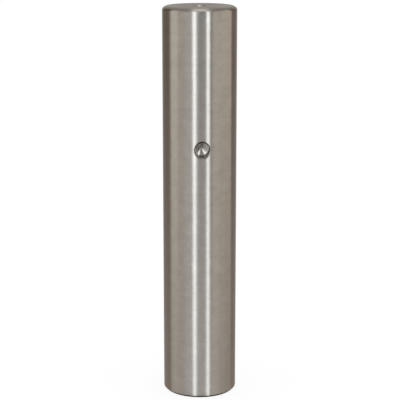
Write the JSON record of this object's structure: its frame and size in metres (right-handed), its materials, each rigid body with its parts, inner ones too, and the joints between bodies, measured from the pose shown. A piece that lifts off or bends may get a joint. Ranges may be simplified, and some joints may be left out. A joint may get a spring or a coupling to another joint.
{
  "type": "king pin",
  "caption": "Solid ground steel king pin for a steering axle: a plain chamfered bar with a short blind countersunk lock screw hole in its side and centre holes in its ends.",
  "frame": {"origin": "centre of the bottom face", "axes": "+Z along the pin from the bottom face to the top face, with the lock screw hole in the -Y side, nearer the top"},
  "size_m": [0.03, 0.03, 0.16],
  "materials": {
    "ground_steel": "hardened alloy steel, cylindrically ground to a satin with a fine lay round the pin, turned end faces and a drilled hole"
  },
  "bodies": {
    "root": {"king_pin": "ground_steel"}
  },
  "joints": []
}
